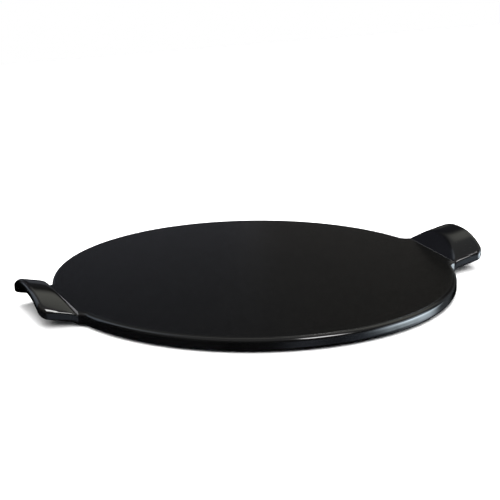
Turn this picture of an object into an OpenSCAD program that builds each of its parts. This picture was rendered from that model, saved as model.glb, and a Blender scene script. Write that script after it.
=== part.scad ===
// Round glazed pizza stone with two arched handles.
// Frame: origin on the table under the middle of the stone, +X through the right handle, +Z up.

/* [Plate] */
// Diameter of the round plate over its rim
plate_d = 370; // [330:5:410]
// Thickness of the plate from the rim's underside to the cooking surface
plate_t = 11.2; // [9.6:0.2:15]
// Radius of the rounding along the rim's top edge
rim_top_r = 3.6; // [2:0.1:4.2]
// Radius of the rounding along the rim's bottom edge
rim_bottom_r = 2.4; // [1.5:0.1:3.4]
// Thickness of the glaze coat on the cooking surface
glaze_t = 0.4; // [0.3:0.05:0.8]

/* [Underside] */
// Height of the feet below the rim
foot_h = 2.6; // [1.6:0.1:4]
// Width of a ring foot
foot_w = 7; // [5:0.5:10]
// Radius of the rounding along a ring foot's edges
foot_edge_r = 1; // [0.5:0.1:1.5]
// Outside diameter of the outer ring foot
foot_ring_d = 316; // [280:2:322]
// Outside diameter of the inner ring foot
centre_foot_d = 150; // [100:5:200]

/* [Handles] */
// Width of a handle where it leaves the plate
handle_root_w = 90.5; // [84:0.5:98]
// Width of a handle at its corners
handle_end_w = 86; // [80:0.5:96]
// Length of a handle past the rim, at its corners
handle_len = 32; // [28:0.5:36]
// Bulge of a handle's end between its corners
end_bow = 0.5; // [0:0.5:5]
// Radius of the corners of a handle's outline
corner_r = 7.5; // [5:0.5:12]
// Radius of the fillet between the rim and the side of a handle
root_fillet_r = 8; // [6:0.5:16]
// Distance inside the rim's circle at which the cooking surface ends at a handle
edge_inset = 1.5; // [1:0.1:2.5]
// Drop from the plate's body to the top of a handle's root
lug_drop = 1.4; // [0.6:0.1:2]
// Height of the underside of a handle's root above the rim's underside
lug_lift = 0.6; // [0:0.1:1.4]
// Angle of the scoop that rises from the cooking surface to the arch
scoop_angle = 57.5; // [46:0.5:62]
// Height of the arch above a handle's root, at its middle
arch_rise = 14.2; // [10:0.2:17]
// Height of a handle's sides above its root
side_rise = 1.2; // [0.6:0.1:3]
// Width of the soft crest between the scoop and the arch
crest_w = 3; // [1.5:0.1:5]
// Climb of the arch from its crest out to the handle's end, as a share of the run
arch_climb_share = 0.21; // [0.1:0.01:0.28]
// Climb of a handle's sides out to its corners, as a share of the run
side_climb_share = 0.19; // [0.05:0.01:0.24]
// Set-back of the scoop's underside, which keeps its wall as thick as the arch
wall_back = 5; // [2:0.5:7]
// Thickness of a handle at its end
end_t = 9.9; // [8:0.1:11]
// Radius of the rounding along a handle's edges
handle_edge_r = 2.3; // [1.8:0.1:3.2]

/* [Hidden] */
$fn = 96;

// Overrun of a cut past the solid that it cuts
cut = 2;
// Reach of the plate past the seat line that a handle shares with it
seat_margin = 2;
// Shape of a handle's arch from side to side: more is flatter on top, then steeper at the sides
arch_power = 2.4;
// Steps along the rim, the fillet, the straight side and the corner of a handle's outline
rim_steps = 6;
fillet_steps = 6;
side_steps = 16;
corner_steps = 6;
// Steps across a handle
arch_steps = 20;
// Steps round each rounded edge of a handle
edge_steps = 4;

plate_r = plate_d / 2;
body_t = plate_t - glaze_t;
body_top_z = foot_h + body_t;
foot_ring_r = foot_ring_d / 2;
centre_foot_r = centre_foot_d / 2;

// Centre of the fillet between the rim and a handle's side, and where it leaves the rim
fillet_y = handle_root_w / 2 + root_fillet_r;
fillet_x = sqrt(pow(plate_r + root_fillet_r, 2) - pow(fillet_y, 2));
fillet_angle = atan2(fillet_y, fillet_x);

// Plane on which a handle seats against the plate
flat_r = plate_r - rim_top_r;
seat_x = flat_r * cos(fillet_angle) - seat_margin;
seat_run = fillet_x - seat_x;

// Main places of a handle
surface_edge_x = plate_r - edge_inset;
end_x = plate_r + handle_len;
corner_x = end_x - corner_r;
corner_y = handle_end_w / 2 - corner_r;
lug_z = body_top_z - lug_drop;
root_t = body_t - lug_drop - lug_lift;

side_points = rim_steps + fillet_steps + side_steps + corner_steps;
last_point = 2 * side_points + arch_steps;
ring_points = 2 * edge_steps + 2;
bottom_k = ring_points - 1;
ring_total = (last_point + 1) * ring_points;
line_points = arch_steps - 1;

function clamp01(u) = min(1, max(0, u));
function eased(u) = let (c = clamp01(u)) c * c * (3 - 2 * c);
function mix(a, b, u) = a + (b - a) * u;

// One side of a handle's outline in plan, drawn inwards by inset, before its end is bowed
function outline_half(i, inset) =
    i <= rim_steps ? rim_point(i / rim_steps, plate_r - inset)
    : i <= rim_steps + fillet_steps ? fillet_point((i - rim_steps) / fillet_steps, root_fillet_r + inset)
    : i <= rim_steps + fillet_steps + side_steps
        ? side_point((i - rim_steps - fillet_steps) / side_steps, inset)
    : corner_point((i - rim_steps - fillet_steps - side_steps) / corner_steps, corner_r - inset);
function rim_point(u, r) =
    let (a = mix(acos(seat_x / r), fillet_angle, u)) [r * cos(a), r * sin(a)];
function fillet_point(u, r) =
    let (a = mix(180 + fillet_angle, 270, u)) [fillet_x + r * cos(a), fillet_y + r * sin(a)];
function side_point(u, inset) =
    [mix(fillet_x, corner_x, u), mix(handle_root_w, handle_end_w, u) / 2 - inset];
function corner_point(u, r) =
    [corner_x + r * sin(90 * u), corner_y + r * cos(90 * u)];

// The whole outline: one side, across the end, then back along the other side
function outline(i, inset) =
    i <= side_points ? outline_half(i, inset)
    : i <= side_points + arch_steps
        ? [end_x - inset, mix(corner_y, -corner_y, (i - side_points) / arch_steps)]
    : let (p = outline_half(last_point - i, inset)) [p[0], -p[1]];
function bowed(p) =
    [p[0] + end_bow * (1 - pow(across(p[1]), 2)) * clamp01((p[0] - fillet_x) / (end_x - fillet_x)), p[1]];

// Share of the way from a handle's middle to its side
function across(y) = clamp01(abs(y) / (handle_end_w / 2));

// Height of a handle's top: level at its root, up the scoop, then out along the arch
function arch(y) = 1 - pow(across(y), arch_power);
function crest(y) = mix(side_rise, arch_rise, arch(y));
function climb(y) = mix(side_climb_share, arch_climb_share, arch(y));
function lower(a, b) = (a + b - sqrt(pow(a - b, 2) + pow(crest_w, 2))) / 2;
function rise(x, y, back) =
    let (run = max(0, x - surface_edge_x), scoop = max(0, run - back) * tan(scoop_angle))
    lower(scoop, crest(y) + climb(y) * run) - lower(0, crest(y) + climb(y) * min(run, back));
function step_up(x) = lug_drop * sqrt(1 - pow(clamp01((x - surface_edge_x) / lug_drop), 2));
function top_z(x, y, back) = lug_z + step_up(x) + rise(x, y, back * arch(y));

// Thickness and edge roundings of a handle: those of the plate at its seat
function seated(x) = 1 - eased((x - seat_x) / seat_run);
function thickness(x) =
    mix(root_t, end_t, clamp01((x - fillet_x) / (end_x - fillet_x))) + step_up(x) + lug_lift * seated(x);
function profile(x, k) =
    let (
        rt = mix(handle_edge_r, rim_top_r, seated(x)),
        rb = mix(handle_edge_r, rim_bottom_r, seated(x)),
        a = k <= edge_steps ? 90 * k / edge_steps : 90 + 90 * (k - edge_steps - 1) / edge_steps
    )
    k <= edge_steps ? [rt * (1 - sin(a)), rt * (1 - cos(a))]
    : [rb * (1 - sin(a)), thickness(x) - rb * (1 + cos(a))];

// Points of a handle's rounded edge, then of its top and its underside
function edge_point(i, k) =
    let (q = profile(outline(i, 0)[0], k), p = bowed(outline(i, q[0])))
    [p[0], p[1], top_z(p[0], p[1], 0) - q[1]];
function face_point(i, j, k) =
    let (
        q = profile(outline(i, 0)[0], k),
        o = outline(i, q[0]),
        p = bowed([o[0], mix(o[1], -o[1], j / arch_steps)])
    )
    [p[0], p[1], top_z(p[0], p[1], k == 0 ? 0 : wall_back) - q[1]];

// Plate with its rounded rim and flat seats for the handles
module stone_disc() {
    color("black")
        difference() {
            translate([0, 0, foot_h])
                rotate_extrude()
                    plate_profile();
            for (side = [-1, 1])
                translate([side > 0 ? seat_x : -seat_x - plate_r, -plate_r, foot_h - cut])
                    cube([plate_r, plate_d, body_t + 2 * cut]);
        }
}

module plate_profile() {
    translate([0, rim_bottom_r])
        square([plate_r, body_t - rim_top_r - rim_bottom_r]);
    square([plate_r - rim_bottom_r, body_t / 2]);
    translate([0, body_t / 2])
        square([plate_r - rim_top_r, body_t / 2]);
    translate([plate_r - rim_top_r, body_t - rim_top_r])
        circle(rim_top_r);
    translate([plate_r - rim_bottom_r, rim_bottom_r])
        circle(rim_bottom_r);
}

// Handle on the right: one skin over its rounded edge, its top, its underside and its seat
module arched_handle() {
    polyhedron(
        points = concat(
            [for (i = [0:last_point]) for (k = [0:bottom_k]) edge_point(i, k)],
            [for (i = [0:side_points - 1]) for (j = [1:line_points]) face_point(i, j, 0)],
            [for (i = [0:side_points - 1]) for (j = [1:line_points]) face_point(i, j, bottom_k)]
        ),
        faces = concat(
            [for (i = [0:last_point - 1]) for (k = [0:bottom_k - 1])
                for (t = halves(at(i, k), at(i, k + 1), at(i + 1, k + 1), at(i + 1, k))) t],
            [for (i = [0:side_points - 1]) for (j = [0:line_points])
                for (t = halves(on(i, j, 0), on(i + 1, j, 0), on(i + 1, j + 1, 0), on(i, j + 1, 0))) t],
            [for (i = [0:side_points - 1]) for (j = [0:line_points])
                for (t = halves(on(i, j, 1), on(i, j + 1, 1), on(i + 1, j + 1, 1), on(i + 1, j, 1))) t],
            [for (j = [0:line_points])
                for (t = halves(on(0, j, 1), on(0, j, 0), on(0, j + 1, 0), on(0, j + 1, 1))) t],
            [[for (k = [bottom_k:-1:0]) at(0, k)], [for (k = [0:bottom_k]) at(last_point, k)]]
        )
    );
}

// Numbers of the points: on the rounded edge, and on the top (0) or the underside (1)
function at(i, k) = i * ring_points + k;
function on(i, j, under) =
    let (k = under * bottom_k)
    j == 0 ? at(i, k)
    : j == arch_steps ? at(last_point - i, k)
    : i == side_points ? at(side_points + j, k)
    : ring_total + (under * side_points + i) * line_points + j - 1;
function halves(a, b, c, d) = [[a, b, c], [a, c, d]];

module handle_right() {
    color("black")
        arched_handle();
}

module handle_left() {
    color("black")
        mirror([1, 0, 0])
            arched_handle();
}

// Glaze coat over the flat top: the round cooking surface and its tongue at each handle
module cooking_glaze() {
    color([0.15, 0.15, 0.15])
        translate([0, 0, body_top_z])
            linear_extrude(glaze_t) {
                circle(flat_r);
                for (side = [0, 1])
                    mirror([side, 0])
                        surface_tongue();
            }
}

module surface_tongue() {
    intersection() {
        difference() {
            polygon([[0, 0], [fillet_x, -fillet_y], [fillet_x, fillet_y]]);
            for (y = [-fillet_y, fillet_y])
                translate([fillet_x, y])
                    circle(root_fillet_r + rim_top_r);
        }
        translate([0, -plate_r])
            square([surface_edge_x, plate_d]);
    }
}

// Ring foot with rounded edges, from the table up to the underside of the plate
module foot(r) {
    color("burlywood")
        rotate_extrude()
            translate([r - foot_w, 0]) {
                translate([foot_edge_r, 0])
                    square([foot_w - 2 * foot_edge_r, foot_h]);
                translate([0, foot_edge_r])
                    square([foot_w, foot_h - foot_edge_r]);
                for (x = [foot_edge_r, foot_w - foot_edge_r])
                    translate([x, foot_edge_r])
                        circle(foot_edge_r);
            }
}

module foot_ring() {
    foot(foot_ring_r);
}

module centre_foot() {
    foot(centre_foot_r);
}

stone_disc();
handle_left();
handle_right();
cooking_glaze();
foot_ring();
centre_foot();
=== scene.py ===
"""Black glazed pizza stone with arched handles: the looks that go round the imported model.

Each piece is made by an operator from the sizes and finishes in its property group, in metres.
"""

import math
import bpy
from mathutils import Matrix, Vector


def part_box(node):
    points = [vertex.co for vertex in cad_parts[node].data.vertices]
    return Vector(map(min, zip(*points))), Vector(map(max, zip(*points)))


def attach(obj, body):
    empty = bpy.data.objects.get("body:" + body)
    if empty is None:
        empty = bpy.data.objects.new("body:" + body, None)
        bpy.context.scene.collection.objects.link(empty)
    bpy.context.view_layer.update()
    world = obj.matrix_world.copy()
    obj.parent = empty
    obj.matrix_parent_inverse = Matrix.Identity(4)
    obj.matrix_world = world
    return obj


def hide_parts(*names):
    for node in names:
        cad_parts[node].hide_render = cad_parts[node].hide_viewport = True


bl_info = {
    "name": "Glazed Pizza Stone",
    "version": (1, 0, 0),
    "blender": (4, 5, 0),
    "location": "View3D > Sidebar > Pizza Stone",
    "description": "Builds a black glazed pizza stone with its handles, feet, finishes and studio",
    "category": "Object",
}

import bmesh
import bpy
from bpy.props import FloatProperty, FloatVectorProperty, IntProperty, PointerProperty
from mathutils import Quaternion, Vector

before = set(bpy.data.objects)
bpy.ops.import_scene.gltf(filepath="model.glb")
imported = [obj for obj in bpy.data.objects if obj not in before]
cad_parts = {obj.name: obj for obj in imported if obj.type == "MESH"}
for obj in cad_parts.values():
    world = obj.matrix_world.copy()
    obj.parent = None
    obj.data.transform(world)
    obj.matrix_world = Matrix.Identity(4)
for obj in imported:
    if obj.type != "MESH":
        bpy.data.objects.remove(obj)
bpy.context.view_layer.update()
DISC_LOW, DISC_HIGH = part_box("stone_disc")
COAT_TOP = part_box("cooking_glaze")[1].z
FOOT_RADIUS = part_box("foot_ring")[1].x
CENTRE_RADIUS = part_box("centre_foot")[1].x

MM = 0.001
MERGE = 1e-7  # points closer than this become one


# Sizes and finishes


class StoneSizes(bpy.types.PropertyGroup):
    """Sizes of the fired stone"""

    plate_radius: FloatProperty(
        name="Plate Radius", description="Radius of the round plate over its rim",
        default=DISC_HIGH.y, unit="LENGTH")
    underside_height: FloatProperty(
        name="Underside Height", description="Height of the plate's underside above the table",
        default=DISC_LOW.z, unit="LENGTH")
    body_top: FloatProperty(
        name="Body Top", description="Height of the plate's body under the cooking coat",
        default=DISC_HIGH.z, unit="LENGTH")
    coat_top: FloatProperty(
        name="Coat Top", description="Height of the cooking surface",
        default=COAT_TOP, unit="LENGTH")
    rim_top_radius: FloatProperty(
        name="Rim Top Radius", description="Rounding along the rim's top edge",
        default=3.6 * MM, unit="LENGTH")
    rim_bottom_radius: FloatProperty(
        name="Rim Bottom Radius", description="Rounding along the rim's bottom edge",
        default=2.4 * MM, unit="LENGTH")
    root_width: FloatProperty(
        name="Root Width", description="Width of a handle where it leaves the plate",
        default=90.5 * MM, unit="LENGTH")
    end_width: FloatProperty(
        name="End Width", description="Width of a handle at its corners",
        default=86 * MM, unit="LENGTH")
    handle_reach: FloatProperty(
        name="Handle Reach", description="Length of a handle past the rim, at its corners",
        default=32 * MM, unit="LENGTH")
    end_bow: FloatProperty(
        name="End Bow", description="Bulge of a handle's end between its corners",
        default=0.5 * MM, unit="LENGTH")
    corner_radius: FloatProperty(
        name="Corner Radius", description="Radius of the corners of a handle's outline",
        default=7.5 * MM, unit="LENGTH")
    root_fillet: FloatProperty(
        name="Root Fillet", description="Fillet between the rim and the side of a handle",
        default=8 * MM, unit="LENGTH")
    edge_inset: FloatProperty(
        name="Edge Inset",
        description="Distance inside the rim at which the cooking surface ends at a handle",
        default=1.5 * MM, unit="LENGTH")
    root_drop: FloatProperty(
        name="Root Drop", description="Drop from the plate's body to the top of a handle's root",
        default=1.4 * MM, unit="LENGTH")
    root_lift: FloatProperty(
        name="Root Lift",
        description="Height of a handle's underside above the rim's, at its root",
        default=0.6 * MM, unit="LENGTH")
    lip_radius: FloatProperty(
        name="Lip Radius", description="Rounding of the body's lip above a handle's root",
        default=0.55 * MM, unit="LENGTH")
    scoop_angle: FloatProperty(
        name="Scoop Angle",
        description="Angle of the scoop between the cooking surface and the arch",
        default=math.radians(57.5), subtype="ANGLE")
    arch_rise: FloatProperty(
        name="Arch Rise", description="Height of the arch above a handle's root, at its middle",
        default=14.2 * MM, unit="LENGTH")
    side_rise: FloatProperty(
        name="Side Rise", description="Height of a handle's sides above its root",
        default=1.2 * MM, unit="LENGTH")
    crest_width: FloatProperty(
        name="Crest Width", description="Width of the soft crest between the scoop and the arch",
        default=3 * MM, unit="LENGTH")
    arch_climb: FloatProperty(
        name="Arch Climb",
        description="Climb of the arch out to the handle's end, as a share of the run",
        default=0.21)
    side_climb: FloatProperty(
        name="Side Climb",
        description="Climb of a handle's sides out to its corners, as a share of the run",
        default=0.19)
    wall_back: FloatProperty(
        name="Wall Back", description="Set-back of the scoop's underside",
        default=5 * MM, unit="LENGTH")
    arch_power: FloatProperty(
        name="Arch Power", description="Flatness of the arch from side to side", default=2.4)
    end_thickness: FloatProperty(
        name="End Thickness", description="Thickness of a handle at its end",
        default=9.9 * MM, unit="LENGTH")
    edge_radius: FloatProperty(
        name="Edge Radius", description="Rounding along a handle's edges",
        default=2.3 * MM, unit="LENGTH")
    end_radius: FloatProperty(
        name="End Radius", description="Fuller rounding over a handle's end",
        default=3.9 * MM, unit="LENGTH")
    foot_width: FloatProperty(
        name="Foot Width", description="Width of a ring foot", default=7 * MM, unit="LENGTH")
    foot_edge: FloatProperty(
        name="Foot Edge", description="Rounding along a ring foot's edges",
        default=1 * MM, unit="LENGTH")
    foot_steps: IntProperty(
        name="Foot Steps", description="Segments round a ring foot", default=256, min=32)


class StoneFinishes(bpy.types.PropertyGroup):
    """Colours of the glazes and the clay"""

    gloss_black: FloatVectorProperty(
        name="Gloss Black", description="Colour of the glossy glaze on the rim and the handles",
        subtype="COLOR", size=3, default=(0.0009, 0.0009, 0.0010), min=0, max=1)
    gloss_brown: FloatVectorProperty(
        name="Thin Glaze", description="Colour where the glossy glaze breaks thin over an edge",
        subtype="COLOR", size=3, default=(0.0045, 0.0040, 0.0036), min=0, max=1)
    satin_black: FloatVectorProperty(
        name="Satin Black", description="Colour of the cooking surface",
        subtype="COLOR", size=3, default=(0.0005, 0.0005, 0.0004), min=0, max=1)
    # Painted highlight: a pale line painted along the lip above a handle's root and round the
    # cooking coat's edge, where the glaze catches the light.
    painted_edge_highlight: FloatVectorProperty(
        name="Worn Lip",
        description="Pale line where the glaze is worn off the lip above a handle's root",
        subtype="COLOR", size=3, default=(0.13, 0.13, 0.135), min=0, max=1)
    clay: FloatVectorProperty(
        name="Bare Clay", description="Colour of the unglazed feet",
        subtype="COLOR", size=3, default=(0.38, 0.28, 0.20), min=0, max=1)


class StoneStage(bpy.types.PropertyGroup):
    """The studio round the stone"""

    camera_distance: FloatProperty(
        name="Camera Distance", description="Distance of the camera from the middle of the plate",
        default=1.6243, unit="LENGTH")
    camera_turn: FloatProperty(
        name="Camera Turn", description="Angle of the camera to the left of the stone's front",
        default=math.radians(23.01), subtype="ANGLE")
    camera_height: FloatProperty(
        name="Camera Elevation", description="Angle of the camera above the table",
        default=math.radians(17.46), subtype="ANGLE")
    floor_colour: FloatVectorProperty(
        name="Floor", description="Colour of the studio floor",
        subtype="COLOR", size=3, default=(0.94, 0.94, 0.94), min=0, max=1)


# Node helpers


MIX_A, MIX_B = 6, 7  # places of the two colours among a Mix node's inputs


def sockets(group, direction, wanted):
    """Adds named sockets to a node group: (name, type, default, low, high)."""
    for name, kind, *rest in wanted:
        s = group.interface.new_socket(name=name, in_out=direction, socket_type=kind)
        if rest:
            s.default_value = rest[0]
        if len(rest) == 3:
            s.min_value, s.max_value = rest[1], rest[2]


def node(tree, kind, place=(0, 0), **values):
    """Adds a node, with attributes by name and inputs by in_NUMBER or in_Name."""
    n = tree.nodes.new(kind)
    n.location = place
    for k, v in values.items():
        if k.startswith("in_"):
            key = k[3:].replace("_", " ")
            n.inputs[int(key) if key.isdigit() else key].default_value = v
        else:
            setattr(n, k, v)
    return n


def wire(tree, *links):
    """Links nodes: (from node, its output, to node, its input)."""
    for source, output, target, place in links:
        tree.links.new(source.outputs[output], target.inputs[place])


def new_group(name, kind, inputs, outputs):
    """A node group with its sockets, and its input and output nodes."""
    g = bpy.data.node_groups.new(name, kind)
    sockets(g, "OUTPUT", outputs)
    sockets(g, "INPUT", inputs)
    return g, node(g, "NodeGroupInput", (-900, 0)), node(g, "NodeGroupOutput", (900, 0))


def group_of(maker):
    """The maker's node group, made at its first use."""
    return bpy.data.node_groups.get(maker.__name__) or maker()


def colour_mix(tree, place, a=None, b=None):
    """Adds a mix of two colours; a colour that isn't given is linked afterwards."""
    n = node(tree, "ShaderNodeMix", place, data_type="RGBA")
    for slot, colour in ((MIX_A, a), (MIX_B, b)):
        if colour is not None:
            n.inputs[slot].default_value = colour
    return n


def ramp(tree, place, low, high):
    """Adds a ramp from black at low to white at high."""
    n = node(tree, "ShaderNodeValToRGB", place)
    for stop, position, value in zip(n.color_ramp.elements, (low, high), (0, 1)):
        stop.position = position
        stop.color = (value, value, value, 1)
    return n


def glaze_ripple():
    """Gentle waviness of a fired glaze, and its roughness, from Object coordinates."""
    g, a, z = new_group(
        "glaze_ripple", "ShaderNodeTree",
        inputs=(("Wave Size", "NodeSocketFloat", 60.0, 0.0, 5000.0),
                ("Grain Size", "NodeSocketFloat", 900.0, 0.0, 9000.0),
                ("Wave Height", "NodeSocketFloat", 0.3, 0.0, 5.0),
                ("Grain Height", "NodeSocketFloat", 0.05, 0.0, 5.0),
                ("Low Roughness", "NodeSocketFloat", 0.1, 0.0, 1.0),
                ("High Roughness", "NodeSocketFloat", 0.16, 0.0, 1.0)),
        outputs=(("Height", "NodeSocketFloat"), ("Roughness", "NodeSocketFloat")))
    c = node(g, "ShaderNodeTexCoord", (-900, 250))
    wave = node(g, "ShaderNodeTexNoise", (-620, 250), in_Detail=1.5, in_Roughness=0.45)
    grain = node(g, "ShaderNodeTexNoise", (-620, 0), in_Detail=2.0, in_Roughness=0.6)
    patch = node(g, "ShaderNodeTexNoise", (-620, -250), in_Detail=3.0, in_Scale=34.0)
    up = node(g, "ShaderNodeMath", (-300, 250), operation="MULTIPLY")
    fine = node(g, "ShaderNodeMath", (-300, 0), operation="MULTIPLY")
    both = node(g, "ShaderNodeMath", (-60, 150), operation="ADD")
    rough = node(g, "ShaderNodeMapRange", (-60, -200), in_From_Min=0.3, in_From_Max=0.7)
    wire(g, (c, "Object", wave, "Vector"), (c, "Object", grain, "Vector"),
         (c, "Object", patch, "Vector"), (a, "Wave Size", wave, "Scale"),
         (a, "Grain Size", grain, "Scale"), (wave, "Fac", up, 0), (a, "Wave Height", up, 1),
         (grain, "Fac", fine, 0), (a, "Grain Height", fine, 1), (up, 0, both, 0),
         (fine, 0, both, 1), (both, 0, z, "Height"), (patch, "Fac", rough, "Value"),
         (a, "Low Roughness", rough, "To Min"), (a, "High Roughness", rough, "To Max"),
         (rough, "Result", z, "Roughness"))
    return g


def glaze_mottle():
    """Soft cloudy change between two colours, with fine specks of a third."""
    g, a, z = new_group(
        "glaze_mottle", "ShaderNodeTree",
        inputs=(("Main", "NodeSocketColor", (0.01, 0.01, 0.01, 1)),
                ("Cloud", "NodeSocketColor", (0.02, 0.02, 0.02, 1)),
                ("Speck", "NodeSocketColor", (0.05, 0.05, 0.05, 1)),
                ("Cloud Size", "NodeSocketFloat", 20.0, 0.0, 5000.0),
                ("Speck Size", "NodeSocketFloat", 1400.0, 0.0, 9000.0),
                ("Speck Share", "NodeSocketFloat", 0.05, 0.0, 1.0)),
        outputs=(("Color", "NodeSocketColor"),))
    c = node(g, "ShaderNodeTexCoord", (-900, 250))
    cloud = node(g, "ShaderNodeTexNoise", (-620, 250), in_Detail=5.0, in_Roughness=0.55)
    soft = ramp(g, (-380, 250), low=0.32, high=0.72)
    cells = node(g, "ShaderNodeTexVoronoi", (-620, -100), feature="F1")
    split = node(g, "ShaderNodeSeparateColor", (-380, -220))
    few = node(g, "ShaderNodeMath", (-180, -220), operation="LESS_THAN")
    near = node(g, "ShaderNodeMapRange", (-180, -20), in_From_Min=0.42, in_From_Max=0.2)
    speck = node(g, "ShaderNodeMath", (40, -120), operation="MULTIPLY")
    first = colour_mix(g, (40, 200))
    last = colour_mix(g, (300, 100))
    wire(g, (c, "Object", cloud, "Vector"), (c, "Object", cells, "Vector"),
         (a, "Cloud Size", cloud, "Scale"), (a, "Speck Size", cells, "Scale"),
         (cloud, "Fac", soft, "Fac"), (soft, "Color", first, "Factor"), (a, "Main", first, "A"),
         (a, "Cloud", first, "B"), (cells, "Color", split, "Color"), (split, "Red", few, 0),
         (a, "Speck Share", few, 1), (cells, "Distance", near, "Value"),
         (near, "Result", speck, 0), (few, 0, speck, 1), (speck, 0, last, "Factor"),
         (first, "Result", last, "A"), (a, "Speck", last, "B"), (last, "Result", z, "Color"))
    return g


def edge_wear_and_highlight():
    """Glaze that breaks thin over an edge where the mesh's share is 1, with a pale highlight
    painted on where it is 2.
    """
    g, a, z = new_group(
        "edge_wear_and_highlight", "ShaderNodeTree",
        inputs=(("Whole", "NodeSocketColor", (0.01, 0.01, 0.01, 1)),
                ("Thin", "NodeSocketColor", (0.02, 0.02, 0.02, 1)),
                ("Worn", "NodeSocketColor", (0.1, 0.1, 0.1, 1))),
        outputs=(("Color", "NodeSocketColor"), ("Share", "NodeSocketFloat")))
    edge = node(g, "ShaderNodeAttribute", (-900, -200), attribute_name="thin_glaze_and_highlight")
    past = node(g, "ShaderNodeMapRange", (-600, -200), in_From_Min=1.0, in_From_Max=2.0)
    thin = colour_mix(g, (-300, 100))
    # Mixes in the painted highlight where the share passes 1.
    worn = colour_mix(g, (0, 100))
    wire(g, (a, "Whole", thin, "A"), (a, "Thin", thin, "B"), (edge, "Fac", thin, "Factor"),
         (edge, "Fac", past, "Value"), (thin, "Result", worn, "A"), (a, "Worn", worn, "B"),
         (past, "Result", worn, "Factor"), (worn, "Result", z, "Color"),
         (edge, "Fac", z, "Share"))
    return g


def rgba(colour, share=1.0):
    """The colour, made stronger or weaker by share, as four numbers."""
    return tuple(c * share for c in colour) + (1,)


def bare_material(name):
    """A material with only its shader and output, its node tree and its shader."""
    m = bpy.data.materials.new(name)
    m.use_nodes = True
    t = m.node_tree
    t.nodes.clear()
    out = node(t, "ShaderNodeOutputMaterial", (900, 0))
    bsdf = node(t, "ShaderNodeBsdfPrincipled", (600, 0))
    t.links.new(bsdf.outputs["BSDF"], out.inputs["Surface"])
    return m, t, bsdf


GLOSS_IOR = 1.52
SATIN_IOR = 1.5


def fired_material(name, mottle, ripple, bump_strength, bump_height):
    """A material with mottled colour and rippled surface, its tree, its shader and both groups."""
    m, t, bsdf = bare_material(name)
    colour = node(t, "ShaderNodeGroup", (-400, 200), node_tree=group_of(glaze_mottle), **mottle)
    surface = node(t, "ShaderNodeGroup", (-400, -300), node_tree=group_of(glaze_ripple), **ripple)
    bump = node(t, "ShaderNodeBump", (200, -300),
                in_Strength=bump_strength, in_Distance=bump_height)
    wire(t, (surface, "Height", bump, "Height"), (bump, "Normal", bsdf, "Normal"))
    return m, t, bsdf, colour, surface


def gloss_glaze(finishes):
    """Black glossy glaze of the rim, the handles and the underside."""
    m, t, bsdf, mottle, ripple = fired_material(
        "gloss_glaze",
        dict(in_Main=rgba(finishes.gloss_black), in_Cloud=rgba(finishes.gloss_black, 1.8),
             in_Speck=rgba(finishes.gloss_brown), in_Cloud_Size=22.0, in_Speck_Size=700.0,
             in_Speck_Share=0.03),
        dict(in_Wave_Size=55.0, in_Grain_Size=700.0, in_Wave_Height=1.0, in_Grain_Height=0.05,
             in_Low_Roughness=0.07, in_High_Roughness=0.11),
        bump_strength=0.25, bump_height=0.0006)
    # The gloss's pale line over the lip is a painted highlight.
    wear = node(t, "ShaderNodeGroup", (0, 200), node_tree=group_of(edge_wear_and_highlight),
                in_Thin=rgba(finishes.gloss_brown), in_Worn=rgba(finishes.painted_edge_highlight))
    wire(t, (mottle, "Color", wear, "Whole"), (wear, "Color", bsdf, "Base Color"),
         (ripple, "Roughness", bsdf, "Roughness"))
    bsdf.inputs["IOR"].default_value = GLOSS_IOR
    return m


def satin_glaze(finishes):
    """Satin black glaze of the cooking surface, with a pale highlight painted along its edge,
    where it is also smoother.
    """
    m, t, bsdf, mottle, ripple = fired_material(
        "satin_glaze",
        dict(in_Main=rgba(finishes.satin_black), in_Cloud=rgba(finishes.satin_black, 1.3),
             in_Speck=rgba(finishes.satin_black, 6.0), in_Cloud_Size=9.0, in_Speck_Size=650.0,
             in_Speck_Share=0.3),
        dict(in_Wave_Size=650.0, in_Grain_Size=2600.0, in_Wave_Height=1.0, in_Grain_Height=0.3,
             in_Low_Roughness=0.155, in_High_Roughness=0.185),
        bump_strength=1.0, bump_height=0.00015)
    # Both colours here are the painted highlight along the coat's edge.
    wear = node(t, "ShaderNodeGroup", (-100, 200), node_tree=group_of(edge_wear_and_highlight),
                in_Thin=rgba(finishes.painted_edge_highlight), in_Worn=rgba(finishes.painted_edge_highlight))
    smooth = node(t, "ShaderNodeMapRange", (100, -50), in_To_Min=0.0, in_To_Max=0.1)
    less = node(t, "ShaderNodeMath", (350, -100), operation="SUBTRACT")
    wire(t, (mottle, "Color", wear, "Whole"), (wear, "Share", smooth, "Value"),
         (wear, "Color", bsdf, "Base Color"), (ripple, "Roughness", less, 0),
         (smooth, "Result", less, 1), (less, 0, bsdf, "Roughness"))
    bsdf.inputs["IOR"].default_value = SATIN_IOR
    return m


def bare_clay(finishes):
    """Unglazed fired clay of the feet, speckled and dry."""
    m, t, bsdf, mottle, ripple = fired_material(
        "bare_clay",
        dict(in_Main=rgba(finishes.clay), in_Cloud=rgba(finishes.clay, 0.8),
             in_Speck=rgba(finishes.clay, 0.35), in_Cloud_Size=60.0, in_Speck_Size=1100.0,
             in_Speck_Share=0.12),
        dict(in_Wave_Size=300.0, in_Grain_Size=3000.0, in_Wave_Height=0.5, in_Grain_Height=0.8,
             in_Low_Roughness=0.78, in_High_Roughness=0.9),
        bump_strength=0.5, bump_height=0.0002)
    wire(t, (mottle, "Color", bsdf, "Base Color"), (ripple, "Roughness", bsdf, "Roughness"))
    return m


def finish_material(maker):
    """The maker's material, made at its first use."""
    return bpy.data.materials.get(maker.__name__) or maker(bpy.context.scene.stone_finishes)


# Form of the stone


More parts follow.
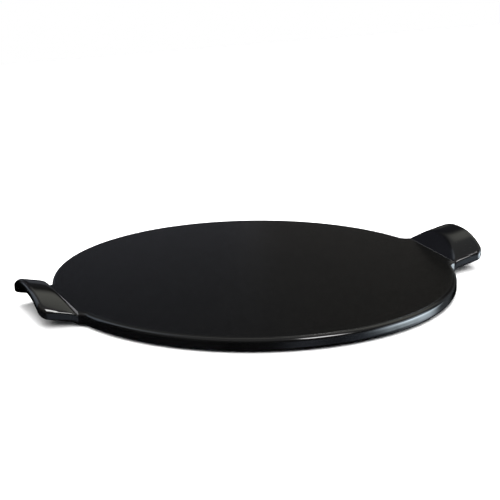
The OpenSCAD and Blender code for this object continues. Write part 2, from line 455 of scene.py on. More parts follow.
SEAT_INSET = 2 * MM  # how far before the fillet the rim's edge starts to turn into a handle's
END_EASE_BEFORE = 9 * MM  # before a handle's corner, where the fuller rounding of its end starts
END_EASE_RUN = 14 * MM  # length over which that rounding grows
GROOVE_SHARE = 2 / 3  # radius of the groove under the lip, as a share of the lip's
LIP_FACE = 1.1  # where the lip's face ends, in lip radii
WALL_ROWS = 3  # rows of faces down the upright part of an edge


class StoneForm:
    """Places on the stone's surface, worked out from its sizes. Lengths in metres, right half."""

    def __init__(self, s):
        self.s = s
        self.fillet_y = s.root_width / 2 + s.root_fillet
        self.fillet_x = math.sqrt((s.plate_radius + s.root_fillet) ** 2 - self.fillet_y ** 2)
        self.fillet_angle = math.atan2(self.fillet_y, self.fillet_x)
        self.flat_radius = s.plate_radius - s.rim_top_radius
        self.seat_x = self.flat_radius * math.cos(self.fillet_angle) - SEAT_INSET
        self.edge_x = s.plate_radius - s.edge_inset
        self.end_x = s.plate_radius + s.handle_reach
        self.corner_x = self.end_x - s.corner_radius
        self.corner_y = s.end_width / 2 - s.corner_radius
        self.root_top = s.body_top - s.root_drop
        self.root_thickness = s.body_top - s.underside_height - s.root_drop - s.root_lift

    def side(self, x, inset):
        """Half width of the outline at x, drawn inwards by inset."""
        s = self.s
        r = s.plate_radius - inset
        if x <= r * math.cos(self.fillet_angle):
            return math.sqrt(max(r * r - x * x, 0))
        if x < self.fillet_x:
            fillet = s.root_fillet + inset
            return self.fillet_y - math.sqrt(fillet ** 2 - (self.fillet_x - x) ** 2)
        u = (x - self.fillet_x) / (self.corner_x - self.fillet_x)
        return (s.root_width + (s.end_width - s.root_width) * u) / 2 - inset

    def outward(self, x):
        """Share of the way along a handle, 0 at its root and 1 at its end."""
        return min(1, max(0, (x - self.fillet_x) / (self.end_x - self.fillet_x)))

    def bow(self, x, y):
        """Place of x with the bulge of a handle's end."""
        s = self.s
        return x + s.end_bow * (1 - min(1, abs(y) / (s.end_width / 2)) ** 2) * self.outward(x)

    @staticmethod
    def eased(u):
        """Smooth change from 0 to 1."""
        u = min(1, max(0, u))
        return u * u * (3 - 2 * u)

    def step(self, x):
        """Height above a handle's root: the lip rolls over and drops into the groove before it."""
        drop, over = self.s.root_drop, self.s.lip_radius
        under = min(over * GROOVE_SHARE, drop - over)
        u = x - self.edge_x
        if u <= 0:
            return drop
        if u < over:
            return drop - over + math.sqrt(over * over - u * u)
        foot = over * LIP_FACE
        if u < foot:
            return drop - over + (under - drop + over) * (u - over) / (foot - over)
        if u < foot + under:
            return under - math.sqrt(max(under * under - (foot + under - u) ** 2, 0))
        return 0.0

    def lower(self, a, b):
        """The lower of two heights, with a soft change from one to the other."""
        return (a + b - math.sqrt((a - b) ** 2 + self.s.crest_width ** 2)) / 2

    def top(self, x, y, back=0.0):
        """Height of the top: level, over the lip, up the scoop and out along the arch.

        With back, the scoop starts that much further out, as it does on its underside.
        """
        s = self.s
        arch = 1 - min(1, abs(y) / (s.end_width / 2)) ** s.arch_power
        crest = s.side_rise + (s.arch_rise - s.side_rise) * arch
        climb = s.side_climb + (s.arch_climb - s.side_climb) * arch
        run = max(0, x - self.edge_x - s.lip_radius)
        back *= arch
        scoop = max(0, run - back) * math.tan(s.scoop_angle)
        level = self.lower(0, crest + climb * min(run, back))
        rise = self.lower(scoop, crest + climb * run) - level
        return self.root_top + self.step(x) + rise

    def seated(self, x):
        """1 along the rim, 0 along a handle."""
        return 1 - self.eased((x - self.seat_x) / (self.fillet_x - self.seat_x))

    def thickness(self, x):
        """Thickness at x, from the top to the underside."""
        s = self.s
        return (self.root_thickness + (s.end_thickness - self.root_thickness) * self.outward(x)
                + self.step(x) + s.root_lift * self.seated(x))

    def edge_profile(self, x, turns):
        """(inset, depth, turn in degrees) down a rounded edge at x."""
        s = self.s
        k = self.seated(x)
        along_end = (x - self.corner_x + END_EASE_BEFORE) / END_EASE_RUN
        fuller = (s.end_radius - s.edge_radius) * self.eased(along_end)
        rt = s.edge_radius + fuller + (s.rim_top_radius - s.edge_radius) * k
        rb = s.edge_radius + (s.rim_bottom_radius - s.edge_radius) * k
        t = self.thickness(x)
        out = []
        for i in range(turns + 1):
            a = math.pi / 2 * i / turns
            out.append((rt * (1 - math.sin(a)), rt * (1 - math.cos(a)), 90 * i / turns))
        for i in range(1, WALL_ROWS):
            out.append((0, rt + (t - rt - rb) * i / WALL_ROWS, 90))
        for i in range(turns + 1):
            a = math.pi / 2 * i / turns
            out.append((rb * (1 - math.cos(a)), t - rb * (1 - math.sin(a)), 90 + 90 * i / turns))
        return out


def spread(low, high, steps):
    """Evenly spaced values from low to high."""
    return [low + (high - low) * i / steps for i in range(steps + 1)]


def along(u, *points):
    """Value at u on the straight lines between points."""
    for (a, low), (b, high) in zip(points, points[1:]):
        if a <= u <= b:
            return low + (high - low) * (u - a) / (b - a)
    return points[0][1] if u < points[0][0] else points[-1][1]


# Rows of faces along the right half: round the rim, past a fillet, out to the corner and round it
RIM_ROWS, FILLET_ROWS, REACH_ROWS, CORNER_ROWS = 96, 44, 40, 14
RIM_GAP = 0.03  # angle between the last row round the rim and the fillet, in radians
FILLET_PAST = 1 * MM  # how far the fillet's rows run on past it
# Rows over the lip, in lip radii from where it starts, and the stretch that they fill
LIP_ROWS = (-1.6, -0.6, 0, 0.1, 0.25, 0.45, 0.62, 0.78, 0.9, 0.97, 1.0, 1.03, 1.07, 1.1,
            1.2, 1.35, 1.55, 1.8, 2.2, 2.8, 3.6, 4.8)
LIP_STRETCH = (-2, 6)


def body_stations(form):
    """Places along the right half of the outline: ('slice', x) then ('corner', angle)."""
    r = form.s.plate_radius
    xs = [r * math.cos(a) for a in spread(math.pi / 2, form.fillet_angle + RIM_GAP, RIM_ROWS)]
    xs += spread(xs[-1], form.fillet_x + FILLET_PAST, FILLET_ROWS)[1:]
    xs += spread(xs[-1], form.corner_x, REACH_ROWS)[1:]
    lip = form.s.lip_radius
    first, last = (form.edge_x + u * lip for u in LIP_STRETCH)
    xs = [x for x in xs if not first < x < last]
    xs = sorted(xs + [form.edge_x + u * lip for u in LIP_ROWS])
    corner = [("corner", a) for a in spread(0, math.pi / 2, CORNER_ROWS)[1:]]
    return [("slice", x) for x in xs] + corner


def body_place(form, station, inset):
    """(x, y) of a station on the outline, drawn inwards by inset."""
    kind, v = station
    if kind == "slice":
        return v, form.side(v, inset)
    r = form.s.corner_radius - inset
    return form.corner_x + r * math.sin(v), form.corner_y + r * math.cos(v)


def add_patch(bm, layer, rows, flip, halved=False):
    """Adds a grid of (place, thin share) points as faces, cut from corner to corner if halved."""
    grid = []
    for row in rows:
        line = []
        for place, thin in row:
            v = bm.verts.new(place)
            v[layer] = thin
            line.append(v)
        grid.append(line)
    for a, b in zip(grid, grid[1:]):
        for i in range(len(a) - 1):
            q = (a[i], a[i + 1], b[i + 1], b[i])
            for f in (q[:3], (q[0], q[2], q[3])) if halved else (q,):
                bm.faces.new(f[::-1] if flip else f)


def other_side(rows):
    """The rows, mirrored from front to back."""
    return [[((x, -y, z), thin) for (x, y, z), thin in row] for row in rows]


def mesh_piece(name, bm, material):
    """Turns the build mesh into a smooth closed object at the origin."""
    bmesh.ops.remove_doubles(bm, verts=bm.verts, dist=MERGE)
    bmesh.ops.dissolve_degenerate(bm, edges=bm.edges, dist=MERGE)
    bmesh.ops.recalc_face_normals(bm, faces=bm.faces)
    if bm.calc_volume(signed=True) < 0:
        bmesh.ops.reverse_faces(bm, faces=bm.faces)
    me = bpy.data.meshes.new(name)
    bm.to_mesh(me)
    bm.free()
    me.shade_smooth()
    me.materials.append(material)
    o = bpy.data.objects.new(name, me)
    bpy.context.scene.collection.objects.link(o)
    return o


# Thin glaze over an edge: how far it reaches in degrees of turn, its strength along the lower
# edge, and its share all round and in addition along a handle
THIN_REACH = 26
THIN_BELOW = 0.5
THIN_SHARE, THIN_MORE = 0.12, 0.5
# Painted highlight on the lip at distances in lip radii, and the turn in degrees at which it ends
# on the edge
LIP_HIGHLIGHT = ((-1.0, 0), (0.1, 0.6), (0.5, 2), (1.1, 2), (1.35, 0.6), (2.2, 0))
LIP_HIGHLIGHT_END = 50


def glazed_body_mesh(form, across=48, turns=12):
    """The plate, its rim and both handles as one unbroken skin of glaze."""
    s = form.s
    stations = body_stations(form)
    bm = bmesh.new()
    thin = bm.verts.layers.float.new("thin_glaze_and_highlight")

    def wear(turn, x):
        """Share of thin glaze over the rounded edges, most on the handles' tight ones.

        The turn is 45 degrees at the middle of the upper edge and 135 at that of the lower one.
        """
        above = math.exp(-((turn - 45) / THIN_REACH) ** 2)
        below = math.exp(-((turn - 135) / THIN_REACH) ** 2)
        return (above + THIN_BELOW * below) * (THIN_SHARE + THIN_MORE * (1 - form.seated(x)))

    def lip(x):
        """Share of the painted highlight on the lip above a handle's root."""
        return along((x - form.edge_x) / s.lip_radius, *LIP_HIGHLIGHT)

    for mirror in (1, -1):
        tops, bottoms, band = [], [], []
        for st in stations:
            x0 = body_place(form, st, 0)[0]
            profile = form.edge_profile(x0, turns)
            line = []
            for inset, depth, turn in profile:
                x, y = body_place(form, st, inset)
                x = form.bow(x, y)
                # The lip's share is a painted highlight, and the edges' share is thin glaze.
                line.append(((mirror * x, y, form.top(x, y) - depth),
                             max(wear(turn, x), lip(x) * (turn < LIP_HIGHLIGHT_END))))
            band.append(line)
            for rows, (inset, depth, turn) in ((tops, profile[0]), (bottoms, profile[-1])):
                bx, by = body_place(form, st, inset)
                row = []
                for j, y in enumerate(spread(by, -by, across)):
                    x = form.bow(bx, y)
                    # The top carries the lip's painted highlight.
                    t = lip(x) if rows is tops else 0
                    # The underside meets the edge all round without the wall's set-back.
                    inner = rows is bottoms and 0 < j < across and st is not stations[-1]
                    back = s.wall_back if inner else 0
                    row.append(((mirror * x, y, form.top(x, y, back) - depth), t))
                rows.append(row)
        end = []
        for j in range(across + 1):
            line = []
            for inset, depth, turn in form.edge_profile(form.end_x, turns):
                y = form.corner_y * (1 - 2 * j / across)
                x = form.bow(form.end_x - inset, y)
                line.append(((mirror * x, y, form.top(x, y) - depth), min(1, wear(turn, x))))
            end.append(line)
        add_patch(bm, thin, tops, mirror > 0)
        add_patch(bm, thin, bottoms, mirror < 0)
        add_patch(bm, thin, band, mirror < 0)
        add_patch(bm, thin, other_side(band), mirror > 0)
        add_patch(bm, thin, end, mirror < 0)
    return bm


# Rows of the coat: round the rim, in to a handle, and before its straight edge
COAT_RIM_ROWS, COAT_ROWS = 110, 24
COAT_ROWS_END = 2.5 * MM
COAT_LAST_ROWS = (2.0 * MM, 1.5 * MM, 1.1 * MM, 0.8 * MM, 0.5 * MM)
COAT_INNER_ROWS = (3.2 * MM, 1.6 * MM, 0.8 * MM, 0.4 * MM, 0.2 * MM)
# The pale line, a painted highlight: its width along a handle, its share round the rim, and its
# reach there
PALE_WIDTH = 0.12 * MM
PALE_SHARE = 0.01
PALE_REACH = 0.55 * MM


def cooking_coat_mesh(form, across=64, turns=6):
    """The satin coat: a flat layer whose edge rolls over by its own thickness."""
    s = form.s
    depth = s.coat_top - s.body_top
    bm = bmesh.new()
    thin = bm.verts.layers.float.new("thin_glaze_and_highlight")
    r = form.flat_radius
    xs = [r * math.cos(a) for a in spread(math.pi / 2, form.fillet_angle + RIM_GAP, COAT_RIM_ROWS)]
    xs += spread(xs[-1], form.edge_x - COAT_ROWS_END, COAT_ROWS)[1:]
    xs += [form.edge_x - away for away in COAT_LAST_ROWS]
    xs += [form.edge_x - depth - PALE_WIDTH, form.edge_x - depth]
    rolls = [(depth * (1 - math.sin(a)), depth * (1 - math.cos(a)))
             for a in spread(0, math.pi / 2, turns)]
    inner = [(depth + away, 0.0) for away in COAT_INNER_ROWS]
    edge = inner + rolls

    def line_share(away):
        """Share of the painted highlight line round the rim."""
        return PALE_SHARE * math.exp(-(away / PALE_REACH) ** 2)

    def half(x, inset):
        """Half width of the coat at x, drawn inwards by inset."""
        return form.side(x, s.rim_top_radius + inset)

    def across_row(x):
        """Places from side to side at x, inside the rows of the side bands."""
        b = half(x, edge[0][0])
        return spread(b, -b, across)

    def under_row(x):
        """Places from side to side at x, with those of the rows of the side bands."""
        side = [half(x, i) for i, d in reversed(edge)][:-1]
        return side + across_row(x) + [-y for y in reversed(side)]

    for mirror in (1, -1):
        tops, band = [], []
        for x in xs:
            # The last slice, at a handle's straight edge, carries the full painted highlight.
            pale = 1.0 if x == xs[-1] else 0.0
            tops.append([((mirror * x, y, s.coat_top), pale) for y in across_row(x)])
            band.append([((mirror * x, half(x, i), s.coat_top - d), line_share(max(0, i - depth)))
                         for i, d in edge])
        x = form.edge_x
        bottoms = [[((mirror * u, y, s.body_top), 0.0) for y in under_row(u)]
                   for u in xs + [x - i for i, d in rolls[1:]]]
        # The rolled edge at a handle and its corners carry the full painted highlight.
        rounded = [[((mirror * (x - i), y, s.coat_top - d), 1.0) for y in across_row(x - i)]
                   for i, d in rolls]
        end = list(zip(*rounded))
        # Past the last slice, the side bands run out to the straight edge and close the corners.
        corner = [[((mirror * (x - ri), half(x - ri, i), s.coat_top - max(d, rd)), 1.0)
                   for ri, rd in rolls] for i, d in edge]
        add_patch(bm, thin, tops, mirror > 0)
        add_patch(bm, thin, bottoms, mirror < 0)
        add_patch(bm, thin, band, mirror < 0)
        add_patch(bm, thin, other_side(band), mirror > 0)
        add_patch(bm, thin, end, mirror < 0)
        # Halved, so that no part of a corner's last face lies flat on the underside.
        add_patch(bm, thin, corner, mirror > 0, halved=True)
        add_patch(bm, thin, other_side(corner), mirror < 0, halved=True)
    return bm


class STONE_OT_glazed_body(bpy.types.Operator):
    """Make the plate, its rim and both handles"""

    bl_idname = "stone.glazed_body"
    bl_label = "Glazed Body"

    def execute(self, context):
        form = StoneForm(context.scene.stone_sizes)
        o = mesh_piece("glazed_body", glazed_body_mesh(form), finish_material(gloss_glaze))
        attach(o, "root")
        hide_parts("stone_disc", "handle_left", "handle_right")
        return {"FINISHED"}


class STONE_OT_cooking_surface(bpy.types.Operator):
    """Make the satin coat of the cooking surface"""

    bl_idname = "stone.cooking_surface"
    bl_label = "Cooking Surface"

    def execute(self, context):
        form = StoneForm(context.scene.stone_sizes)
        o = mesh_piece("cooking_surface", cooking_coat_mesh(form), finish_material(satin_glaze))
        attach(o, "root")
        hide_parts("cooking_glaze")
        return {"FINISHED"}


# Ring feet


def ring_foot_tree():
    """A ring of rounded section, swept round a circle by Geometry Nodes."""
    g, a, z = new_group(
        "ring_foot_tree", "GeometryNodeTree",
        inputs=(("Ring Radius", "NodeSocketFloat", 0.15, 0.0, 1.0),
                ("Foot Width", "NodeSocketFloat", 0.007, 0.0, 1.0),
                ("Foot Height", "NodeSocketFloat", 0.003, 0.0, 1.0),
                ("Edge Radius", "NodeSocketFloat", 0.001, 0.0, 1.0),
                ("Steps", "NodeSocketInt", 256),
                ("Material", "NodeSocketMaterial")),
        outputs=(("Geometry", "NodeSocketGeometry"),))
    half = node(g, "ShaderNodeMath", (-700, 200), operation="MULTIPLY", in_1=0.5)
    middle = node(g, "ShaderNodeMath", (-520, 200), operation="SUBTRACT")
    circle = node(g, "GeometryNodeCurvePrimitiveCircle", (-340, 200), mode="RADIUS")
    upright = node(g, "GeometryNodeSetCurveNormal", (-160, 200), mode="Z_UP")
    section = node(g, "GeometryNodeCurvePrimitiveQuadrilateral", (-520, -100), mode="RECTANGLE")
    rounded = node(g, "GeometryNodeFilletCurve", (-340, -100), mode="POLY", in_Count=6)
    sweep = node(g, "GeometryNodeCurveToMesh", (60, 100))
    smooth = node(g, "GeometryNodeSetShadeSmooth", (240, 100))
    rise = node(g, "ShaderNodeMath", (60, -200), operation="MULTIPLY", in_1=0.5)
    place = node(g, "ShaderNodeCombineXYZ", (240, -200))
    move = node(g, "GeometryNodeTransform", (420, 100))
    real = node(g, "GeometryNodeRealizeInstances", (580, 100))
    paint = node(g, "GeometryNodeSetMaterial", (740, 100))
    wire(g, (a, "Foot Width", half, 0), (a, "Ring Radius", middle, 0), (half, 0, middle, 1),
         (middle, 0, circle, "Radius"), (a, "Steps", circle, "Resolution"),
         (a, "Foot Width", section, "Width"), (a, "Foot Height", section, "Height"),
         (section, "Curve", rounded, "Curve"), (a, "Edge Radius", rounded, "Radius"),
         (circle, "Curve", upright, "Curve"), (upright, "Curve", sweep, "Curve"),
         (rounded, "Curve", sweep, "Profile Curve"), (sweep, "Mesh", smooth, "Geometry"),
         (a, "Foot Height", rise, 0), (rise, 0, place, "Z"),
         (smooth, "Geometry", move, "Geometry"), (place, "Vector", move, "Translation"),
         (move, "Geometry", real, "Geometry"), (real, "Geometry", paint, "Geometry"),
         (a, "Material", paint, "Material"), (paint, "Geometry", z, "Geometry"))
    return g


def ring_foot(name, radius, sizes, height):
    """Runs the tree on an empty mesh and keeps the result as a plain mesh."""
    tree = group_of(ring_foot_tree)
    holder = bpy.data.objects.new(name, bpy.data.meshes.new(name))
    bpy.context.scene.collection.objects.link(holder)
    mod = holder.modifiers.new("ring", "NODES")
    mod.node_group = tree
    given = {"Ring Radius": radius, "Foot Width": sizes.foot_width, "Foot Height": height,
             "Edge Radius": sizes.foot_edge, "Steps": sizes.foot_steps,
             "Material": finish_material(bare_clay)}
    for item in tree.interface.items_tree:
        if item.in_out == "INPUT":
            mod[item.identifier] = given[item.name]
    dg = bpy.context.evaluated_depsgraph_get()
    made = bpy.data.meshes.new_from_object(holder.evaluated_get(dg), depsgraph=dg)
    holder.modifiers.remove(mod)
    holder.data = made
    made.name = name
    if not made.polygons:
        raise RuntimeError(name + " came out empty")
    bm = bmesh.new()
    bm.from_mesh(made)
    bmesh.ops.remove_doubles(bm, verts=bm.verts, dist=MERGE)
    bmesh.ops.recalc_face_normals(bm, faces=bm.faces)
    bm.to_mesh(made)
    bm.free()
    return holder


class STONE_OT_ring_feet(bpy.types.Operator):
    """Make the two unglazed ring feet"""

    bl_idname = "stone.ring_feet"
    bl_label = "Ring Feet"

    def execute(self, context):
        s = context.scene.stone_sizes
        # The feet run on into the plate by their edge's rounding, so that it shows only below.
        height = s.underside_height + s.foot_edge
        for name, node_name, radius in (("outer_foot", "foot_ring", FOOT_RADIUS),
                                        ("inner_foot", "centre_foot", CENTRE_RADIUS)):
            o = ring_foot(name, radius, s, height)
            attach(o, "root")
            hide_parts(node_name)
        return {"FINISHED"}


# Studio


FLOOR_HALF = 1.2  # half the side of the floor; past it the backdrop shows, as white as the floor
FLOOR_CLOUD = 0.985  # the floor's faint second tone, as a share of its colour
BACKDROP_STRENGTH = 1.0  # what the camera sees past the floor
ROOM_FILL = 0.1  # pale light from all round on matt surfaces
LIGHT_TARGET = Vector((0, 0, 0.01))

# The photo's frame: its side in pixels, the place of the plate's middle in it, its scale there in
# pixels per millimetre, and its tilt in degrees
PHOTO_SIDE = 500
PHOTO_MIDDLE = (254.63, 284.23)
PHOTO_SCALE = 1.0860
PHOTO_TILT = 0.54
SENSOR_WIDTH = 36


def studio_direction(turn, azimuth, elevation):
    """Direction from the stone: azimuth 0 is behind it as the camera sees it, 90 to its right."""
    a, e = turn + math.radians(azimuth), math.radians(elevation)
    return Vector((math.sin(a) * math.cos(e), math.cos(a) * math.cos(e), math.sin(e)))


def panel_light(name, turn, azimuth, elevation, distance, size, power, colour=(1, 1, 1),
                shows_in_gloss=True, lights_matt=True):
    """Adds a flat lamp that faces the stone, in degrees, metres and watts."""
    light = bpy.data.lights.new(name, "AREA")
    light.shape = "RECTANGLE"
    light.size, light.size_y = size
    light.energy = power
    light.color = colour
    o = bpy.data.objects.new(name, light)
    bpy.context.scene.collection.objects.link(o)
    way = studio_direction(turn, azimuth, elevation)
    o.location = LIGHT_TARGET + way * distance
    o.rotation_mode = "QUATERNION"
    o.rotation_quaternion = (-way).to_track_quat("-Z", "Y")
    o.visible_glossy = shows_in_gloss
    o.visible_diffuse = lights_matt
    o.visible_camera = False


def floor_material(colour):
    """Matt, nearly even pale floor."""
    m, t, bsdf = bare_material("studio_floor")
    noise = node(t, "ShaderNodeTexNoise", (-400, 0), in_Scale=3.0, in_Detail=2.0)
    mix = colour_mix(t, (0, 0), a=rgba(colour), b=rgba(colour, FLOOR_CLOUD))
    coord = node(t, "ShaderNodeTexCoord", (-700, 0))
    wire(t, (coord, "Object", noise, "Vector"), (noise, "Fac", mix, "Factor"),
         (mix, "Result", bsdf, "Base Color"))
    bsdf.inputs["Roughness"].default_value = 0.9
    bsdf.inputs["Specular IOR Level"].default_value = 0.0
    return m


def studio_window():
    """Share of one soft window of light in a direction; all angles in degrees."""
    ways = (("Azimuth", "Middle Azimuth", "Half Width", "Soft Width"),
            ("Elevation", "Middle Elevation", "Half Height", "Soft Height"))
    g, a, z = new_group("studio_window", "ShaderNodeTree",
                        inputs=[(name, "NodeSocketFloat") for way in ways for name in way],
                        outputs=(("Share", "NodeSocketFloat"),))
    both = node(g, "ShaderNodeMath", (400, 0), operation="MULTIPLY")
    for i, (way, middle, half, soft) in enumerate(ways):
        y = 200 - 400 * i
        off = node(g, "ShaderNodeMath", (-680, y), operation="SUBTRACT")
        away = node(g, "ShaderNodeMath", (-500, y), operation="ABSOLUTE")
        past = node(g, "ShaderNodeMath", (-320, y), operation="SUBTRACT")
        part = node(g, "ShaderNodeMath", (-140, y), operation="DIVIDE")
        fade = node(g, "ShaderNodeMapRange", (40, y), interpolation_type="SMOOTHSTEP",
                    in_From_Min=1.0, in_From_Max=-1.0)
        turned = node(g, "ShaderNodeMath", (-590, y + 160), operation="WRAP",
                      in_1=180.0, in_2=-180.0)
        wire(g, (a, way, off, 0), (a, middle, off, 1), (off, 0, turned, 0), (turned, 0, away, 0),
             (away, 0, past, 0), (a, half, past, 1), (past, 0, part, 0), (a, soft, part, 1),
             (part, 0, fade, "Value"), (fade, "Result", both, i))
    wire(g, (both, 0, z, "Share"))
    return g


# Soft windows that the glaze mirrors: middle azimuth and elevation, half width and height, and the
# softness of their sides and of their top and bottom, all in degrees, then strength and colour.
# Azimuth 0 is behind the stone as the camera sees it, 90 to its right. The windows add up, and the
# first is the dim upper part of the room.
STUDIO_WINDOWS = (
    ("room", 0, 90, 400, 52, 1, 12, 0.36, (0.98, 1.0, 0.99)),
    ("ceiling_band", 34, 48, 40, 10, 24, 5, 0.50, (1.0, 1.0, 0.84)),
    ("ceiling_left", 44, 34, 38, 5, 8, 5, 0.38, (1.0, 1.0, 0.90)),
    ("back_sweep", 27, 20, 30, 12, 8, 8, 0.032, (1.0, 0.97, 0.90)),
    ("back_left_sweep", -38, 20, 38, 12, 8, 8, 0.040, (0.70, 0.76, 1.0)),
    ("left_sweep", -54, 14, 26, 14, 12, 8, 0.07, (0.80, 0.80, 1.0)),
    ("far_sweep", 176, 16, 78, 13, 20, 10, 0.07, (1.0, 0.99, 0.97)),
    ("key_lamp", 134, 48, 14, 10, 4, 5, 17.0, (1.0, 1.0, 0.99)),
    ("right_wall", 88, 8, 18, 14, 10, 8, 3.0, (0.78, 0.89, 1.0)),
    ("right_core", 86, -9, 16, 9, 19, 4, 12.5, (0.80, 0.92, 1.0)),
    ("right_tail", 50, 3, 12, 28, 12, 10, 0.22, (0.84, 0.92, 1.0)),
    ("right_floor", 68, -26, 10, 20, 8, 12, 1.8, (0.76, 0.89, 1.0)),
    ("right_front", 112, -11, 16, 17, 16, 8, 0.50, (0.70, 0.82, 1.0)),
    ("front_floor", 151, -18, 12, 10, 12, 8, 0.38, (0.74, 0.83, 1.0)),
    ("left_wall", -70, 38, 14, 32, 4, 8, 1.0, (0.72, 0.84, 1.0)),
    ("left_low_wall", -51, -4, 8, 10, 6, 6, 0.6, (0.76, 0.88, 1.0)),
)


def studio_world(turn):
    """White to the camera, dim to matt surfaces, and in gloss a dark room with soft windows."""
    w = bpy.data.worlds.new("studio")
    bpy.context.scene.world = w
    w.use_nodes = True
    t = w.node_tree
    t.nodes.clear()
    out = node(t, "ShaderNodeOutputWorld", (1600, 0))
    mix = node(t, "ShaderNodeMixShader", (1200, 0))
    white = node(t, "ShaderNodeBackground", (900, 350), in_Color=(1, 1, 1, 1),
                 in_Strength=BACKDROP_STRENGTH)
    pale = node(t, "ShaderNodeBackground", (900, 200), in_Color=(1, 1, 1, 1),
                in_Strength=ROOM_FILL)
    seen = node(t, "ShaderNodeMixShader", (1400, 200))
    room = node(t, "ShaderNodeBackground", (900, -100), in_Strength=1.0)
    path = node(t, "ShaderNodeLightPath", (900, 500))
    coord = node(t, "ShaderNodeTexCoord", (-1400, 0))
    facing = node(t, "ShaderNodeVectorRotate", (-1200, 0), rotation_type="Z_AXIS", in_Angle=turn)
    parts = node(t, "ShaderNodeSeparateXYZ", (-1000, 0))
    around = node(t, "ShaderNodeMath", (-800, 150), operation="ARCTAN2")
    azimuth = node(t, "ShaderNodeMath", (-620, 150), operation="DEGREES")
    upward = node(t, "ShaderNodeMath", (-800, -150), operation="ARCSINE")
    elevation = node(t, "ShaderNodeMath", (-620, -150), operation="DEGREES")
    wire(t, (coord, "Generated", facing, "Vector"), (facing, "Vector", parts, "Vector"),
         (parts, "X", around, 0), (parts, "Y", around, 1), (around, 0, azimuth, 0),
         (parts, "Z", upward, 0), (upward, 0, elevation, 0))
    total = None
    for i, (name, *angles, strength, colour) in enumerate(STUDIO_WINDOWS):
        y = 900 - 260 * i
        middle_azimuth, middle_elevation, half_width, half_height, soft_width, soft_height = angles
        n = node(t, "ShaderNodeGroup", (-300, y), node_tree=group_of(studio_window), name=name,
                 in_Middle_Azimuth=middle_azimuth, in_Middle_Elevation=middle_elevation,
                 in_Half_Width=half_width, in_Half_Height=half_height,
                 in_Soft_Width=soft_width, in_Soft_Height=soft_height)
        wire(t, (azimuth, 0, n, "Azimuth"), (elevation, 0, n, "Elevation"))
        lit = node(t, "ShaderNodeVectorMath", (0, y), operation="SCALE",
                   in_0=tuple(c * strength for c in colour))
        wire(t, (n, "Share", lit, "Scale"))
        if total is None:
            total = lit
        else:
            add = node(t, "ShaderNodeVectorMath", (300, y), operation="ADD")
            wire(t, (total, "Vector", add, 0), (lit, "Vector", add, 1))
            total = add
    wire(t, (total, "Vector", room, "Color"), (path, "Is Glossy Ray", mix, 0), (pale, 0, mix, 1),
         (room, 0, mix, 2), (path, "Is Camera Ray", seen, 0), (mix, 0, seen, 1),
         (white, 0, seen, 2), (seen, 0, out, "Surface"))


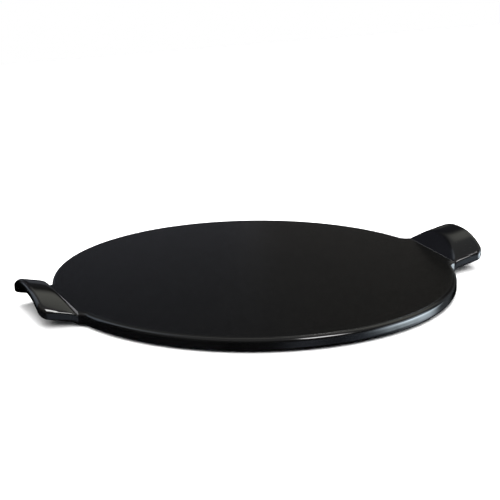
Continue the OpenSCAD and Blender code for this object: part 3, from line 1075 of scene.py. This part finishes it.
class STONE_OT_studio(bpy.types.Operator):
    """Make the floor, the lights and the camera"""

    bl_idname = "stone.studio"
    bl_label = "Studio"

    def execute(self, context):
        stage = context.scene.stone_stage
        turn = stage.camera_turn
        me = bpy.data.meshes.new("studio_floor")
        r = FLOOR_HALF
        me.from_pydata([(-r, -r, 0), (r, -r, 0), (r, r, 0), (-r, r, 0)], [], [(0, 1, 2, 3)])
        me.materials.append(floor_material(stage.floor_colour))
        floor = bpy.data.objects.new("studio_floor", me)
        context.scene.collection.objects.link(floor)
        floor.visible_glossy = False
        studio_world(turn)
        context.scene.view_settings.view_transform = "Standard"
        # The back cards show in the gloss alone, and the two softboxes light matt surfaces alone.
        for name, azimuth, power, colour in (("left_back_card", -23.5, 0.055, (0.84, 0.88, 1.0)),
                                             ("right_back_card", 23.5, 0.039, (1.0, 0.97, 0.92))):
            panel_light(name, turn, azimuth, elevation=6.4, distance=0.86, size=(0.76, 0.17),
                        power=power, colour=colour, lights_matt=False)
        panel_light("overhead_softbox", turn, azimuth=0, elevation=84, distance=1.7,
                    size=(1.9, 1.9), power=72, shows_in_gloss=False)
        panel_light("front_softbox", turn, azimuth=180, elevation=38, distance=2.4,
                    size=(2.6, 1.2), power=100, shows_in_gloss=False)

        cam = bpy.data.cameras.new("photo_camera")
        o = bpy.data.objects.new("photo_camera", cam)
        context.scene.collection.objects.link(o)
        target = Vector((0, 0, context.scene.stone_sizes.underside_height))
        back = studio_direction(turn, 180, math.degrees(stage.camera_height))
        o.location = target + back * stage.camera_distance
        o.rotation_mode = "QUATERNION"
        aim = (-back).to_track_quat("-Z", "Y")
        o.rotation_quaternion = Quaternion(-back, math.radians(PHOTO_TILT)) @ aim
        cam.sensor_width = SENSOR_WIDTH
        cam.lens = PHOTO_SCALE * stage.camera_distance / MM / PHOTO_SIDE * SENSOR_WIDTH
        cam.shift_x = 0.5 - PHOTO_MIDDLE[0] / PHOTO_SIDE
        cam.shift_y = PHOTO_MIDDLE[1] / PHOTO_SIDE - 0.5
        cam.clip_start, cam.clip_end = 0.05, 50
        context.scene.camera = o
        return {"FINISHED"}


# Panel and start


class STONE_PT_panel(bpy.types.Panel):
    """Pizza stone tools"""

    bl_label = "Pizza Stone"
    bl_idname = "STONE_PT_panel"
    bl_space_type = "VIEW_3D"
    bl_region_type = "UI"
    bl_category = "Pizza Stone"

    def draw(self, context):
        col = self.layout.column()
        for op in OPERATORS:
            col.operator(op.bl_idname)
        scene = context.scene
        for group in (scene.stone_sizes, scene.stone_finishes, scene.stone_stage):
            box = col.box()
            for key in group.bl_rna.properties.keys():
                if key not in ("rna_type", "name"):
                    box.prop(group, key)


GROUPS = (StoneSizes, StoneFinishes, StoneStage)
OPERATORS = (STONE_OT_glazed_body, STONE_OT_cooking_surface, STONE_OT_ring_feet, STONE_OT_studio)


def register():
    for c in GROUPS + OPERATORS + (STONE_PT_panel,):
        bpy.utils.register_class(c)
    bpy.types.Scene.stone_sizes = PointerProperty(type=StoneSizes)
    bpy.types.Scene.stone_finishes = PointerProperty(type=StoneFinishes)
    bpy.types.Scene.stone_stage = PointerProperty(type=StoneStage)


def unregister():
    del bpy.types.Scene.stone_sizes
    del bpy.types.Scene.stone_finishes
    del bpy.types.Scene.stone_stage
    for c in reversed(GROUPS + OPERATORS + (STONE_PT_panel,)):
        bpy.utils.unregister_class(c)


def main():
    register()
    bpy.ops.stone.glazed_body()
    bpy.ops.stone.cooking_surface()
    bpy.ops.stone.ring_feet()
    bpy.ops.stone.studio()


if __name__ == "__main__":
    main()
